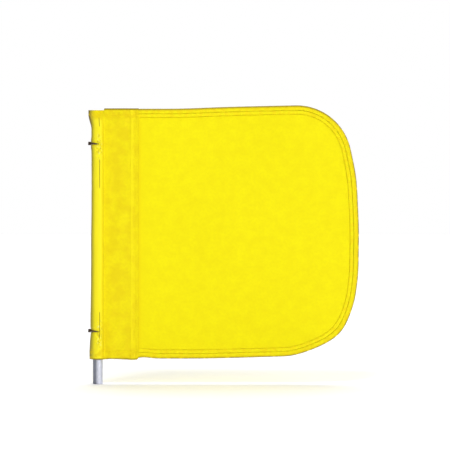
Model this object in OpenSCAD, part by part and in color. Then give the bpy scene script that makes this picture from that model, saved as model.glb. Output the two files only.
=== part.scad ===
// A flat safety flag on a short metal pole. A folded sleeve strip turns on the pole, two cable ties
// hold it there, and the flag cloth with its bound edge hangs from the strip.
// Millimetres. The pole's axis is Z, its lower end is at z = 0, and the flag points along +X.

/* [Pole] */
// Outer diameter of the pole tube
pole_d = 11.1; // [10.5:0.1:11.3]
// Wall thickness of the pole tube
pole_wall = 0.7; // [0.6:0.05:0.8]
// Length of bare pole below the sleeve
stub_h = 28; // [15:1:60]

/* [Sleeve strip] */
// Height of the sleeve strip, bottom edge to top edge
strip_h = 283; // [240:1:340]
// Distance from the pole's axis to the strip's outer edge
strip_reach = 46; // [35:0.5:60]
// Inside diameter of the pocket that holds the pole
pocket_d = 13.6; // [13.5:0.1:14.5]
// Thickness of the pocket's wall
pocket_wall = 0.8; // [0.6:0.1:1.2]

/* [Flag] */
// Distance from the pole's axis to the outermost point of the fly edge
fly_reach = 295; // [240:1:360]
// Radius of the upper fly corner
upper_corner_r = 62; // [40:1:75]
// Radius of the lower fly corner
lower_corner_r = 82; // [50:1:90]
// Width of the binding folded over the flag's edge
binding_w = 10.5; // [8:0.5:14]
// Thickness of the flag cloth
cloth_t = 0.6; // [0.4:0.1:0.8]

/* [Cable ties] */
// Width of each tie's band
tie_w = 1.8; // [1.5:0.1:2.5]
// Thickness of each tie's band
tie_t = 0.7; // [0.5:0.05:0.75]
// Tilt of each tie's loop, with its head end up
tie_tilt = 5; // [0:1:6]

/* [Hidden] */
$fn = 96;
past = 1; // how far a cutter runs past the face that it cuts

// heights on the pole
strip_top = stub_h + strip_h;
pocket_top = strip_top - 2; // the pocket's closed end sits a little below the flat strip's edge
closing_h = 19; // the pocket narrows from round to flat over this height
flat_h = 4.5; // height of the flat, stitched end
flat_z = pocket_top - flat_h;
closing_z = pocket_top - closing_h;
pole_top = closing_z - 4;
lower_tie_z = stub_h + 31.2;
upper_tie_z = strip_top - 40.4;

// pole and plug
pole_r = pole_d / 2;
bore_r = pole_r - pole_wall;
seat_r = bore_r + 0.2; // the plug's seat, reamed a little wider than the bore
plug_press = 0.02;
plug_stem_h = 12;
plug_head_h = 2.5;
plug_head_r = pole_r + 0.75; // wider than the ties' loops, so that they can't pass over it
plug_dome_h = 1;

// sleeve strip
pocket_r = pocket_d / 2;
pocket_out_r = pocket_r + pocket_wall;
leg_t = 0.55;
slot_t = cloth_t + 0.1; // the gap between the strip's two legs, where the flag's cloth goes in
strip_t = slot_t + 2 * leg_t;
seam_x = pocket_out_r + 1; // the row that closes the pocket
slot_x = seam_x + 1; // the legs part here
flat_left = -10.6; // the pressed end is wider than the round pocket
slit_gap = 0.3;

// the fold line and the gaps that let the flag fold back on either side
fold_x = strip_reach + 4;
root_gap = 1.8;
binding_gap = 2.6;
row_gap = 3.4;

// ties
tie_clear = 0.4;
tie_in_r = pole_r + tie_clear;
cloth_gap = 0.05;
bridge_x = [0.7, 1.5]; // where a tie passes through the pocket's wall
tie_head = [3, 3.6, 3.8];
tie_tail = [0.7, 0.8];

// How far from the axis a tie's piece of height h starts, so that it clears the cloth when tilted.
function off_cloth(h) = (pocket_out_r + cloth_gap + h / 2 * sin(tie_tilt)) / cos(tie_tilt);
tie_out_r = off_cloth(tie_w);

// flag outline: two nearly level edges, two corner arcs and a wide fly arc, all tangent to each other
upper_z = strip_top - 0.7;
lower_z = stub_h + 0.6;
upper_rise = 1.2;
lower_rise = 0.8;
fly_arc_r = 535;
fly_arc_z = stub_h + 137;
fly_c = [fly_reach - fly_arc_r, fly_arc_z];
corner_steps = 18;
fly_steps = 8;

// thread rows
thread_w = 0.5;
thread_t = 0.25;
binding_t = 0.45;
binding_rows = [5.2, 9.5];
strip_rows = [strip_reach - 4, strip_reach - 1.5];
top_row_z = strip_top - 9;
bottom_row_z = stub_h + 8;
closing_row_z = pocket_top - flat_h / 2; // the row that shuts the pocket's pressed end

// An arc's points, from one angle to another.
function arc(c, r, from, to, steps) =
    [for (i = [0 : steps]) let (a = from + (to - from) * i / steps) c + r * [cos(a), sin(a)]];

// Where a line rising at an angle from the strip's edge is at x.
function edge_at(z, rise, x) = z + (x - strip_reach) * tan(rise);

// The centre of a corner of radius r that touches an edge line and the fly arc.
// side is 1 below the upper edge and -1 above the lower edge.
function corner_centre(z, rise, side, r) =
    let (
        along = [cos(rise), sin(rise)],
        start = [strip_reach, z] + side * r * [sin(rise), -cos(rise)],
        m = start - fly_c,
        b = m * along,
        c = m * m - pow(fly_arc_r - r, 2)
    ) start + along * (sqrt(b * b - c) - b);

upper_c = corner_centre(upper_z, upper_rise, 1, upper_corner_r);
lower_c = corner_centre(lower_z, lower_rise, -1, lower_corner_r);
function heading(c) = atan2(c.y - fly_c.y, c.x - fly_c.x);

// The flag's outline from x to the fly edge, moved inward by inset.
function outline(inset, x) = concat(
    [[x, edge_at(upper_z, upper_rise, x) - inset / cos(upper_rise)]],
    arc(upper_c, upper_corner_r - inset, 90 + upper_rise, heading(upper_c), corner_steps),
    arc(fly_c, fly_arc_r - inset, heading(upper_c), heading(lower_c), fly_steps),
    arc(lower_c, lower_corner_r - inset, heading(lower_c), -90 + lower_rise, corner_steps),
    [[x, edge_at(lower_z, lower_rise, x) + inset / cos(lower_rise)]]
);

// A sheet in the flag's plane between y = from and y = to.
module sheet(inset, x, from, to) {
    translate([0, to, 0]) rotate([90, 0, 0]) linear_extrude(to - from) polygon(outline(inset, x));
}

// A row of thread along the binding, on both of its faces.
module binding_row(inset) {
    face = cloth_t / 2 + binding_t;
    for (side = [0, 1]) mirror([0, side, 0]) difference() {
        sheet(inset, fold_x + row_gap, face, face + thread_t);
        sheet(inset + thread_w, fold_x + row_gap - past, face - past, face + thread_t + past);
    }
}

// A straight row of thread on both faces of the strip, from one corner to the other.
module strip_row(low, high) {
    for (side = [0, 1]) mirror([0, side, 0])
        translate([low.x, strip_t / 2, low.y]) cube([high.x - low.x, thread_t, high.y - low.y]);
}

module upright_row(x) {
    strip_row([x - thread_w / 2, stub_h + 1], [x + thread_w / 2, strip_top - 1]);
}

// A flat ring around the pole's axis, centred on the height where it is placed.
module band(inner, outer) {
    difference() {
        cylinder(r = outer, h = tie_w, center = true);
        cylinder(r = inner, h = tie_w + 2 * past, center = true);
    }
}

// A box over a range of x, wide enough to cut or keep a whole band.
module slab(x0, x1, h) {
    wide = 4 * pocket_out_r;
    translate([x0, -wide / 2, -h / 2]) cube([x1 - x0, wide, h]);
}

// A tie's place: its height on the pole and its tilt.
module at_tie(z) {
    translate([0, 0, z]) rotate([0, tie_tilt, 0]) children();
}

// A cable tie: outside the pocket on the side away from the flag, through a slit in the cloth at the
// front and the back, and inside the pocket on the flag's side.
module tie(z) {
    far = 2 * pocket_out_r;
    head_x = -off_cloth(tie_head.z) - tie_head.x;
    at_tie(z) {
        intersection() {
            band(tie_out_r, tie_out_r + tie_t);
            slab(-far, bridge_x[1], 2 * tie_w);
        }
        intersection() {
            band(tie_in_r, tie_in_r + tie_t);
            slab(bridge_x[0], far, 2 * tie_w);
        }
        intersection() {
            band(tie_in_r, tie_out_r + tie_t);
            slab(bridge_x[0], bridge_x[1], 2 * tie_w);
        }
        translate([head_x, -tie_head.y / 2, -tie_head.z / 2])
            difference() {
                cube([tie_head.x, tie_head.y, tie_head.z]);
                translate([tie_head.x / 2 - tie_tail.x, -past, (tie_head.z - tie_w) / 2])
                    cube([tie_tail.x, tie_tail.y + past, tie_w]);
            }
    }
}

module pole_tube() {
    color("lightsteelblue") difference() {
        cylinder(r = pole_r, h = pole_top);
        translate([0, 0, -past]) cylinder(r = bore_r, h = pole_top + 2 * past);
        translate([0, 0, pole_top - plug_stem_h]) cylinder(r = seat_r, h = plug_stem_h + past);
    }
}

module pole_plug() {
    color("dimgray") {
        translate([0, 0, pole_top - plug_stem_h]) cylinder(r = seat_r + plug_press, h = plug_stem_h);
        translate([0, 0, pole_top]) {
            cylinder(r = plug_head_r, h = plug_head_h - plug_dome_h);
            translate([0, 0, plug_head_h - plug_dome_h])
                cylinder(r1 = plug_head_r, r2 = plug_head_r - plug_dome_h, h = plug_dome_h);
        }
    }
}

// The narrowing stretch above the round pocket, from a circle of radius r to a line of thickness t.
module narrowing(r, left, t) {
    hull() {
        translate([0, 0, closing_z - past / 2]) cylinder(r = r, h = past / 2, $fn = 32);
        translate([left, -t / 2, flat_z]) cube([r - left, t, 0.01]);
    }
}

// The pocket round the pole. Its foot is open, its top is pressed flat and stitched shut, and the
// slits in it let the ties through.
module sleeve_pocket() {
    shoulder = pocket_out_r * [cos(34), sin(34)]; // where the cloth leaves the round pocket
    color("gold") difference() {
        union() {
            translate([0, 0, stub_h]) cylinder(r = pocket_out_r, h = closing_z - stub_h);
            narrowing(pocket_out_r, flat_left, strip_t);
            translate([flat_left, -strip_t / 2, flat_z])
                cube([pocket_out_r - flat_left, strip_t, flat_h]);
            translate([0, 0, stub_h]) linear_extrude(closing_z - stub_h)
                polygon([
                    [0, 0], shoulder, [seam_x - 0.2, strip_t / 2], [seam_x - 0.2, -strip_t / 2],
                    [shoulder.x, -shoulder.y]
                ]);
            translate([pocket_out_r - past, -strip_t / 2, stub_h])
                cube([slot_x - pocket_out_r + past, strip_t, strip_h]);
        }
        translate([0, 0, stub_h - past]) cylinder(r = pocket_r, h = closing_z - stub_h + past);
        narrowing(pocket_r, flat_left + pocket_wall, 0.2);
        for (z = [lower_tie_z, upper_tie_z])
            at_tie(z) slab(bridge_x[0] - slit_gap, bridge_x[1] + slit_gap, tie_w + 2 * slit_gap);
    }
}

// One leg of the folded strip, on one face of the flag's cloth.
module leg(y) {
    color("gold") translate([slot_x, y, stub_h]) cube([strip_reach - slot_x, leg_t, strip_h]);
}

module sleeve_front_leg() {
    leg(-strip_t / 2);
}

module sleeve_back_leg() {
    leg(slot_t / 2);
}

// The flag cloth's inner edge, between the strip's legs and out to the fold line.
module flag_root() {
    color("yellow") translate([slot_x + 0.5, -cloth_t / 2, lower_z + 1])
        cube([fold_x - root_gap - slot_x - 0.5, cloth_t, upper_z - lower_z - 2]);
}

module upper_tie() {
    color("black") tie(upper_tie_z);
}

module lower_tie() {
    color("black") tie(lower_tie_z);
}

module pocket_seam() {
    color("goldenrod")
        strip_row([seam_x, stub_h + 1], [seam_x + thread_w, closing_z]);
}

module strip_seam_inner() {
    color("goldenrod") upright_row(strip_rows[0]);
}

module strip_seam_outer() {
    color("goldenrod") upright_row(strip_rows[1]);
}

module pocket_end_seam() {
    color("goldenrod") strip_row([flat_left + 1, closing_row_z], [seam_x, closing_row_z + thread_w]);
}

// A level row from the pocket's seam to the upright rows.
module level_row(z) {
    color("goldenrod") strip_row([seam_x + 1, z], [strip_rows[0] - 1, z + thread_w]);
}

module sleeve_top_seam() {
    level_row(top_row_z);
}

module sleeve_bottom_seam() {
    level_row(bottom_row_z);
}

// The flag beyond the fold line. Its inner edge is rounded about the fold's axis.
module flag_cloth() {
    half = cloth_t / 2;
    color("yellow") {
        sheet(binding_t, fold_x, -half, half);
        translate([fold_x, 0, lower_z + 1]) cylinder(r = half, h = upper_z - lower_z - 2);
    }
}

// A tape folded over the flag's edge, on both faces.
module edge_binding() {
    half = cloth_t / 2;
    x = fold_x + binding_gap;
    color("khaki") difference() {
        sheet(0, x, -half - binding_t, half + binding_t);
        sheet(binding_w, x - past, -half - binding_t - past, half + binding_t + past);
        sheet(binding_t, x - past, -half, half);
    }
}

module binding_seam_outer() {
    color("goldenrod") binding_row(binding_rows[0]);
}

module binding_seam_inner() {
    color("goldenrod") binding_row(binding_rows[1]);
}

pole_tube();
pole_plug();
sleeve_pocket();
sleeve_front_leg();
sleeve_back_leg();
flag_root();
upper_tie();
lower_tie();
pocket_seam();
pocket_end_seam();
strip_seam_inner();
strip_seam_outer();
sleeve_top_seam();
sleeve_bottom_seam();
flag_cloth();
edge_binding();
binding_seam_outer();
binding_seam_inner();
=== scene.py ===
import math

import bmesh
import bpy
import numpy as np
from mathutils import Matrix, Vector


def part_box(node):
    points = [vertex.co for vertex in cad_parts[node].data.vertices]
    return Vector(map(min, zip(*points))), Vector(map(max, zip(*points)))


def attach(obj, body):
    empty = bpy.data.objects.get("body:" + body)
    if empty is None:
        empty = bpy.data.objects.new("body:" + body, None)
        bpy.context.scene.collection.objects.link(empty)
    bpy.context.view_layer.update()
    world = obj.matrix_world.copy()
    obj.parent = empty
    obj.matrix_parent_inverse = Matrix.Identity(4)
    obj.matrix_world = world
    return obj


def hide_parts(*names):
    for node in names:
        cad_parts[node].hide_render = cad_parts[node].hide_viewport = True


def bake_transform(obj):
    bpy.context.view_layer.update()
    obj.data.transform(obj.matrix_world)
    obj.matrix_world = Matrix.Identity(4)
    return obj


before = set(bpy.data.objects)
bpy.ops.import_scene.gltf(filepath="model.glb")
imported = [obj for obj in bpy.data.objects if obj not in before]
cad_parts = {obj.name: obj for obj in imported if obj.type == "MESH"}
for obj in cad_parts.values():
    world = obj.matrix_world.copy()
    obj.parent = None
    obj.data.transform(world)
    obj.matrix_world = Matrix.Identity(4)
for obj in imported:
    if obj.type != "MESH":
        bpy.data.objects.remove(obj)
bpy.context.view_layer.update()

# ---------------------------------------------------------------- measures, in metres
MM = 0.001

pocket_low, pocket_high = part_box("sleeve_pocket")
leg_low, leg_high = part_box("sleeve_front_leg")
tape_low, tape_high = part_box("edge_binding")
root_low, root_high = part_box("flag_root")
pole_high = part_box("pole_tube")[1]

# sleeve strip
STRIP_LOW, STRIP_HIGH = leg_low.z, leg_high.z
STRIP_X = leg_high.x                # the strip's outer edge
POCKET_R = pocket_high.y            # outside of the pocket
POCKET_LEFT = pocket_low.x          # left edge of the pressed end
POCKET_TOP = STRIP_HIGH - 2 * MM
FLAT_Z = POCKET_TOP - 4.5 * MM      # the pressed end is flat above this
CLOSING_Z = POCKET_TOP - 19 * MM    # and the pocket is round below this
STRIP_T = 0.55 * MM
STRIP_ROWS = 250                    # rows of mesh points up the strip
LEG_OUT = -leg_low.y                # outer face of a leg, from the flag's plane
SHOULDER_DEG = 12                   # where the cloth leaves the round pocket
NECK_X = POCKET_R + 0.5 * MM        # where the strip's legs meet beside the pocket
LAP_X = 2.3 * MM                    # the lap edge on the pocket's front
LAP_GAPES = (                       # where the lap stands open: height and half its length
    (STRIP_HIGH - 15.5 * MM, 5 * MM),
    (STRIP_LOW + 209 * MM, 16 * MM),
    (STRIP_LOW + 38 * MM, 15 * MM),
)

# flag
FLY_X = tape_high.x
UPPER_CORNER_R = 62 * MM
LOWER_CORNER_R = 82 * MM
FLY_ARC_R = 535 * MM
FLY_ARC_Z = STRIP_LOW + 137 * MM
UPPER_Z = STRIP_HIGH - 0.2 * MM
LOWER_Z = STRIP_LOW + 0.6 * MM
UPPER_RISE = math.radians(1.2)
LOWER_RISE = math.radians(0.8)
CLOTH_HALF = 0.25 * MM
TAPE_W = 10.5 * MM
TAPE_T = 0.45 * MM
TAPE_START = STRIP_X - 1.2 * MM     # the tape's ends are tucked under the strip's edge

# stitching
STITCH = 3.2 * MM                   # from one hole to the next
THREAD_R = 0.21 * MM
BINDING_ROWS = (5.2 * MM, 9.5 * MM)


# ---------------------------------------------------------------- small mathematics
def ramp(x, start, end):
    """0 before start, 1 after end, and smooth between them."""
    t = np.clip((x - start) / (end - start), 0, 1)
    return t * t * (3 - 2 * t)


def hill(x, centre, width):
    return np.exp(-((x - centre) / width) ** 2)


def bumps(u, v, seed):
    """Seeded smooth noise from about -1 to 1, with a new value at each whole number of u and v."""
    size = 256
    table = np.random.default_rng(seed).uniform(-1, 1, (size, size))
    ui, vi = np.floor(u).astype(int), np.floor(v).astype(int)
    fu, fv = ramp(u - ui, 0, 1), ramp(v - vi, 0, 1)
    low = table[ui % size, vi % size] * (1 - fu) + table[(ui + 1) % size, vi % size] * fu
    high = table[ui % size, (vi + 1) % size] * (1 - fu) + table[(ui + 1) % size, (vi + 1) % size] * fu
    return low * (1 - fv) + high * fv


# ---------------------------------------------------------------- the flag's outline
fly_centre = np.array([FLY_X - FLY_ARC_R, FLY_ARC_Z])


def corner_centre(z, rise, side, r):
    """The centre of a corner of radius r that touches an edge line and the fly arc."""
    along = np.array([math.cos(rise), math.sin(rise)])
    start = np.array([STRIP_X, z]) + side * r * np.array([math.sin(rise), -math.cos(rise)])
    m = start - fly_centre
    b = m @ along
    c = m @ m - (FLY_ARC_R - r) ** 2
    return start + along * (math.sqrt(b * b - c) - b)


upper_centre = corner_centre(UPPER_Z, UPPER_RISE, 1, UPPER_CORNER_R)
lower_centre = corner_centre(LOWER_Z, LOWER_RISE, -1, LOWER_CORNER_R)


def heading(centre):
    d = centre - fly_centre
    return math.atan2(d[1], d[0])


def stations(step, x0=STRIP_X):
    """Points along the flag's edge from x0 on the upper edge round to x0 on the lower one, about step apart.
    Gives the points, their outward normals and the distance along the edge, in the flag's plane."""
    points, normals = [], []

    def line(start, end, normal):
        count = max(2, round(math.dist(start, end) / step))
        for t in np.linspace(0, 1, count, endpoint=False):
            points.append(start + t * (end - start))
            normals.append(normal)

    def arc(centre, r, a0, a1):
        count = max(2, round(abs(a1 - a0) * r / step))
        for a in np.linspace(a0, a1, count, endpoint=False):
            normal = np.array([math.cos(a), math.sin(a)])
            points.append(centre + r * normal)
            normals.append(normal)

    up = np.array([-math.sin(UPPER_RISE), math.cos(UPPER_RISE)])
    down = np.array([math.sin(LOWER_RISE), -math.cos(LOWER_RISE)])
    upper_start = np.array([x0, UPPER_Z + (x0 - STRIP_X) * math.tan(UPPER_RISE)])
    lower_end = np.array([x0, LOWER_Z + (x0 - STRIP_X) * math.tan(LOWER_RISE)])
    line(upper_start, upper_centre + UPPER_CORNER_R * up, up)
    arc(upper_centre, UPPER_CORNER_R, math.pi / 2 + UPPER_RISE, heading(upper_centre))
    arc(fly_centre, FLY_ARC_R, heading(upper_centre), heading(lower_centre))
    arc(lower_centre, LOWER_CORNER_R, heading(lower_centre), LOWER_RISE - math.pi / 2)
    line(lower_centre + LOWER_CORNER_R * down, lower_end, down)
    points.append(lower_end)
    normals.append(down)
    points, normals = np.array(points), np.array(normals)
    along = np.r_[0, np.cumsum(np.linalg.norm(np.diff(points, axis=0), axis=1))]
    return points, normals, along


edge_points, edge_normals, edge_along = stations(1 * MM)
TAPE_LONG = float(stations(0.8 * MM, TAPE_START)[2][-1])


def hem_place(x, z):
    """For points of the flag: the distance along the nearest edge and the depth inside it."""
    p = np.stack([np.ravel(x), np.ravel(z)], axis=1)
    along, depth = np.empty(len(p)), np.empty(len(p))
    for i in range(0, len(p), 4000):
        part = p[i:i + 4000]
        gap = part[:, None, :] - edge_points[None, :, :]
        near = np.argmin((gap ** 2).sum(axis=2), axis=1)
        off = part - edge_points[near]
        n = edge_normals[near]
        depth[i:i + 4000] = -(off * n).sum(axis=1)
        along[i:i + 4000] = edge_along[near] + off[:, 0] * n[:, 1] - off[:, 1] * n[:, 0]
    return along.reshape(np.shape(x)), depth.reshape(np.shape(x))


# ---------------------------------------------------------------- how the cloth lies
def gather(along, depth):
    """Small puckers that the stitch rows draw into the cloth, slanted across the hem."""
    fine = bumps((along + 0.5 * depth) / (3.4 * MM), depth / (9 * MM) + 40, 11)
    coarse = bumps((along - 0.3 * depth) / (7.5 * MM), depth / (14 * MM) + 80, 12)
    reach = ramp(depth, 24 * MM, 8 * MM) * ramp(depth, -2 * MM, 3 * MM)
    return (0.20 * fine + 0.26 * coarse) * reach * MM


def lie(x, z):
    """y of the middle of the flag's cloth at x and z."""
    along, depth = hem_place(x, z)
    free = ramp(x, STRIP_X - 2 * MM, STRIP_X + 90 * MM)
    slow = bumps(x / (88 * MM) + 3.3, z / (104 * MM) + 0.4, 21)
    middle = bumps((x + 0.6 * z) / (44 * MM), (z - 0.4 * x) / (70 * MM) + 9, 22)
    small = bumps(x / (15 * MM), z / (17 * MM), 23)
    wave = (2.1 * slow + 0.55 * middle) * free * MM
    ripple = 0.07 * small * MM * ramp(x, STRIP_X, STRIP_X + 20 * MM)
    return wave + ripple + gather(along, depth) * ramp(x, STRIP_X - 2 * MM, STRIP_X + 6 * MM)


# Where the bound edge departs a little from its arcs: place, pull and width, in mm.
EDGE_PULLS = (
    ((273, 60), (1.7, -1.5), 20),
    ((238, 38), (0, 1.5), 20),
    ((290, 233), (1.2, 0.3), 24),
    ((293, 122), (0.8, 0), 20),
)


def settle(points):
    """Move points of the flag in its plane: the upper edge hangs slack, the lower edge is drawn up beside the
    strip and sags beyond it, and the bound edge departs from its arcs at EDGE_PULLS."""
    x, z = points[..., 0].copy(), points[..., 2].copy()
    slack = 0.9 * MM * hill(x, STRIP_X + 48 * MM, 38 * MM) * ramp(z, STRIP_HIGH - 110 * MM, STRIP_HIGH)
    low = ramp(z, STRIP_LOW + 60 * MM, STRIP_LOW + 5 * MM)
    drawn = 1.3 * MM * hill(x, STRIP_X + 6 * MM, 9 * MM) * low
    sag = 1.1 * MM * hill(x, STRIP_X + 78 * MM, 62 * MM) * low
    points[..., 2] = z - slack + drawn - sag
    for (at_x, at_z), (pull_x, pull_z), width in EDGE_PULLS:
        share = hill(np.hypot(x - at_x * MM, z - at_z * MM), 0, width * MM)
        points[..., 0] += pull_x * MM * share
        points[..., 2] += pull_z * MM * share
    return points


# ---------------------------------------------------------------- mesh builders
def make_object(name, verts, faces, flat=None, smooth=True):
    mesh = bpy.data.meshes.new(name)
    mesh.from_pydata([tuple(v) for v in verts], [], [tuple(f) for f in faces])
    if flat is not None:
        place = mesh.attributes.new("flat_place", "FLOAT_VECTOR", "POINT")
        place.data.foreach_set("vector", np.asarray(flat, np.float32).ravel())
    bm = bmesh.new()
    bm.from_mesh(mesh)
    bmesh.ops.recalc_face_normals(bm, faces=bm.faces)
    bm.to_mesh(mesh)
    bm.free()
    mesh.polygons.foreach_set("use_smooth", [smooth] * len(mesh.polygons))
    obj = bpy.data.objects.new(name, mesh)
    bpy.context.scene.collection.objects.link(obj)
    return obj


def shell(name, outer, inner, flat):
    """A closed sheet between two matching grids of points. flat is each point's place in the flat cloth."""
    n, m = outer.shape[:2]
    verts = np.concatenate([outer.reshape(-1, 3), inner.reshape(-1, 3)])
    index = np.arange(n * m).reshape(n, m)
    a, b, c, d = index[:-1, :-1], index[1:, :-1], index[1:, 1:], index[:-1, 1:]
    top = np.stack([a, b, c, d], axis=-1).reshape(-1, 4)
    below = top[:, ::-1] + n * m
    rim = np.concatenate([index[0, :], index[1:, -1], index[-1, -2::-1], index[-2:0:-1, 0]])
    after = np.roll(rim, -1)
    sides = np.stack([rim, after, after + n * m, rim + n * m], axis=-1)
    place = np.concatenate([flat.reshape(-1, 2)] * 2)
    place = np.c_[place, np.zeros(len(place))]
    return make_object(name, verts, np.concatenate([top, below, sides]), place)


def tube(rings, base):
    """Faces of a tube with closed ends through rings of points, whose first vertex is number base."""
    n, k = rings.shape[:2]
    index = base + np.arange(n * k).reshape(n, k)
    faces = []
    for i in range(n - 1):
        for j in range(k):
            j2 = (j + 1) % k
            faces.append((index[i, j], index[i + 1, j], index[i + 1, j2], index[i, j2]))
    faces.append(tuple(index[0, ::-1]))
    faces.append(tuple(index[-1]))
    return faces


def stitches(name, starts, ends, outward):
    """Lock stitches: each is a short length of thread that rises out of one hole and goes down the next.
    starts and ends are their holes on the cloth's face and outward is the face's side, +1 or -1 in y."""
    sides, cuts = 8, (0, 0.1, 0.3, 0.5, 0.7, 0.9, 1)
    verts, faces, places = [], [], []
    for start, end, side in zip(starts, ends, outward):
        along = (end - start) / np.linalg.norm(end - start)
        up = np.array([0, side, 0], float)
        across = np.cross(along, up)
        slant = across * 0.05 * MM
        rings = []
        for t in cuts:
            arch = 1 - (2 * t - 1) ** 4
            centre = start + (end - start) * (0.04 + 0.92 * t) + slant * (2 * t - 1)
            centre = centre + up * (arch * 0.25 - 0.12) * MM
            r = THREAD_R * (0.75 + 0.25 * arch)
            turn = np.linspace(0, 2 * math.pi, sides, endpoint=False)
            rings.append(centre + r * (np.outer(np.cos(turn), across) + np.outer(np.sin(turn), up)))
            places.append(np.c_[np.full(sides, t * STITCH), turn * THREAD_R, np.zeros(sides)])
        rings = np.array(rings)
        faces += tube(rings, len(verts) * sides * len(cuts))
        verts.append(rings)
    return make_object(name, np.concatenate(verts).reshape(-1, 3), faces, np.concatenate(places))


# ---------------------------------------------------------------- flag cloth
def flag_sheet():
    """One sheet from between the strip's legs to just inside the binding's fold."""
    inset, root_x = 1.0 * MM, root_low.x
    points, normals, _ = stations(0.5 * MM)
    points = points - normals * inset

    def angle_place(centre, at):
        return np.argmin(np.linalg.norm(points - (centre + at), axis=1))

    diagonal = math.sqrt(0.5)
    top_end = angle_place(upper_centre, np.array([diagonal, diagonal]) * (UPPER_CORNER_R - inset))
    low_end = angle_place(lower_centre, np.array([diagonal, -diagonal]) * (LOWER_CORNER_R - inset))
    columns, rows = 170, 180
    u, v = np.linspace(0, 1, columns + 1), np.linspace(0, 1, rows + 1)

    def even(path, t):
        """Points at shares t of a path's length."""
        d = np.r_[0, np.cumsum(np.linalg.norm(np.diff(path, axis=0), axis=1))]
        return np.stack([np.interp(t * d[-1], d, path[:, k]) for k in (0, 1)], axis=-1)

    top = even(np.r_[[[root_x, root_high.z]], points[:top_end + 1]], u)
    low = even(np.r_[[[root_x, root_low.z]], points[:low_end - 1:-1]], u)
    fly = even(points[low_end:top_end - 1:-1], v)
    root = even(np.array([[root_x, root_low.z], [root_x, root_high.z]]), v)
    uu, vv = u[:, None, None], v[None, :, None]
    grid = (1 - vv) * low[:, None] + vv * top[:, None] + (1 - uu) * root[None] + uu * fly[None]
    grid = grid - ((1 - uu) * (1 - vv) * low[0] + uu * (1 - vv) * low[-1]
                   + (1 - uu) * vv * top[0] + uu * vv * top[-1])
    x, z = grid[..., 0], grid[..., 1]
    y = lie(x, z)
    outer = settle(np.stack([x, y - CLOTH_HALF, z], axis=-1))
    inner = settle(np.stack([x, y + CLOTH_HALF, z], axis=-1))
    flat_outline = np.concatenate([low, fly[1:], top[-2::-1]])
    ahead = np.roll(flat_outline, -1, axis=0)
    area = abs(np.sum(flat_outline[:, 0] * ahead[:, 1] - ahead[:, 0] * flat_outline[:, 1])) / 2
    return shell("flag_sheet", outer, inner, grid), float(area)


# ---------------------------------------------------------------- binding tape
def tape_rise(along, depth, seed):
    """How far the tape's outer face stands off the cloth: held down at the stitch rows, puffed between them
    and pressed thin along its inner edge."""
    face = CLOTH_HALF + TAPE_T + 0.04 * MM
    row_a, row_b = BINDING_ROWS
    puff = 0.26 * np.sin(np.clip(depth / row_a, 0, 1) * math.pi)
    puff = puff + 0.24 * np.sin(np.clip((depth - row_a) / (row_b - row_a), 0, 1) * math.pi)
    wrinkle = bumps((along + 0.6 * depth) / (3.1 * MM), depth / (6 * MM), seed)
    puff = puff * (1 + 0.75 * wrinkle)
    holes = 0.5 + 0.5 * np.cos(2 * math.pi * along / STITCH)
    pinch = sum(hill(depth, row, 0.4 * MM) for row in BINDING_ROWS) * (0.02 + 0.05 * holes)
    pressed = 0.34 * ramp(depth, row_b - 0.2 * MM, TAPE_W)
    loose = ramp(np.minimum(along, TAPE_LONG - along), 1.2 * MM, 4 * MM)
    return face + (puff * loose - pinch - pressed) * MM


def edge_tape():
    """The tape that is folded over the flag's edge."""
    points, normals, along = stations(0.8 * MM, TAPE_START)
    row_a, row_b = BINDING_ROWS
    near = np.array([-0.45, -0.2, 0, 0.2, 0.45]) * MM
    depths = np.r_[np.linspace(0, 1.2, 6)[1:] * MM, 2.2 * MM, 3.2 * MM, row_a + near,
                   5.6 * MM, 6.75 * MM, 7.9 * MM, row_b + near, 9.9 * MM, TAPE_W]
    depth = np.r_[depths[::-1], 0, depths]
    side = np.r_[-np.ones(len(depths)), 0, np.ones(len(depths))]
    s, d = np.meshgrid(along, depth, indexing="ij")
    flat_x = points[:, None, 0] - normals[:, None, 0] * d
    flat_z = points[:, None, 1] - normals[:, None, 1] * d
    middle = lie(flat_x, flat_z)
    waver = 0.12 * MM * bumps(s / (6 * MM), d * 0, 31)
    outer_off = np.where(side < 0, tape_rise(s, d, 32), tape_rise(s, d, 33))
    fold = np.sqrt(np.clip(1 - (1 - np.clip(d / (1.2 * MM), 0, 1)) ** 2, 0, 1))

    def layer(off, shift):
        at = d + shift * (1 - fold)
        x = points[:, None, 0] - normals[:, None, 0] * (at - waver * ramp(d, 8 * MM, TAPE_W))
        z = points[:, None, 1] - normals[:, None, 1] * (at - waver * ramp(d, 8 * MM, TAPE_W))
        return settle(np.stack([x, middle + side[None, :] * off * fold, z], axis=-1))

    outer = layer(outer_off, 0)
    inner = layer(np.maximum(outer_off - TAPE_T, CLOTH_HALF + 0.02 * MM), TAPE_T)
    flat = np.stack([s, side[None, :] * d], axis=-1)
    return shell("edge_tape", outer, inner, flat)


def binding_stitches(name, depth):
    """One row of stitches round the tape, on both faces of the flag."""
    points, normals, along = stations(0.4 * MM, TAPE_START)
    row = points - normals * depth
    s = np.arange(STITCH, TAPE_LONG - 2.4 * MM, STITCH)
    x, z = (np.interp(s, along, row[:, k]) for k in (0, 1))
    y = lie(x, z)
    starts, ends, sides = [], [], []
    for side, seed in ((-1, 32), (1, 33)):
        face = y + side * tape_rise(s, np.full(len(s), depth), seed)
        hole = settle(np.stack([x, face, z], axis=-1))
        starts += list(hole[:-1])
        ends += list(hole[1:])
        sides += [side] * (len(s) - 1)
    return stitches(name, starts, ends, sides)


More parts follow.
